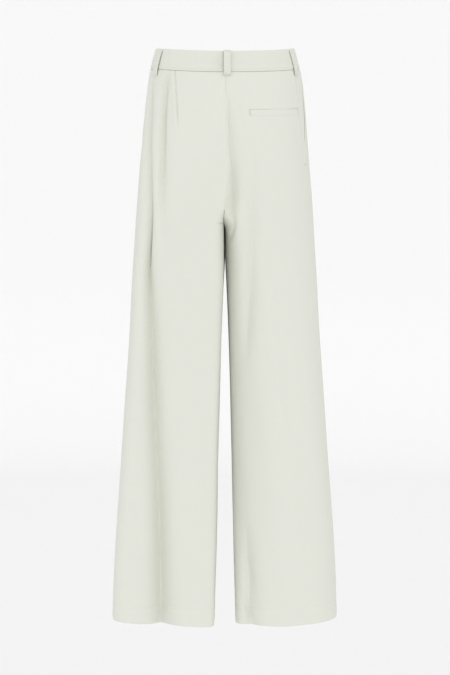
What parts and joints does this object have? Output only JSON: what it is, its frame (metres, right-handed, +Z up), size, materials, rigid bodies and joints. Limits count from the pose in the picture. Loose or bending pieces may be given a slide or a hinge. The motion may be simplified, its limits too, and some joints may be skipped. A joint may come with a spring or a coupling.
{
  "type": "wide-leg high-waisted chinos",
  "caption": "Empty filled-out trousers with wide straight legs, a shaped waistband, belt loops, a fly, slanted side pockets and a welt pocket on the right back.",
  "frame": {"origin": "middle of the hollow waist, level with the waist seam at the sides", "axes": "+Z up towards the waistband, -Y the back of the trousers, +X the wearer's right"},
  "size_m": [0.4264, 0.2424, 1.0845],
  "materials": {
    "cloth": "plain weave with fine slubs, matt, pale sage ivory",
    "band_cloth": "the same cloth, doubled and pressed",
    "button": "satin, four holes"
  },
  "bodies": {
    "root": {"back_left": "cloth", "back_right": "cloth", "front_left": "cloth", "front_right": "cloth", "hem_left": "cloth", "hem_right": "cloth", "waistband_back": "band_cloth", "waistband_front_left": "band_cloth", "waistband_front_right": "band_cloth", "loop_back_left": "band_cloth", "loop_back_centre": "band_cloth", "loop_back_right": "band_cloth", "loop_front_left": "band_cloth", "loop_front_right": "band_cloth", "welt_back_right": "cloth", "pocket_edge_left": "cloth", "pocket_edge_right": "cloth", "fly": "cloth", "waist_button": "button"}
  },
  "joints": []
}
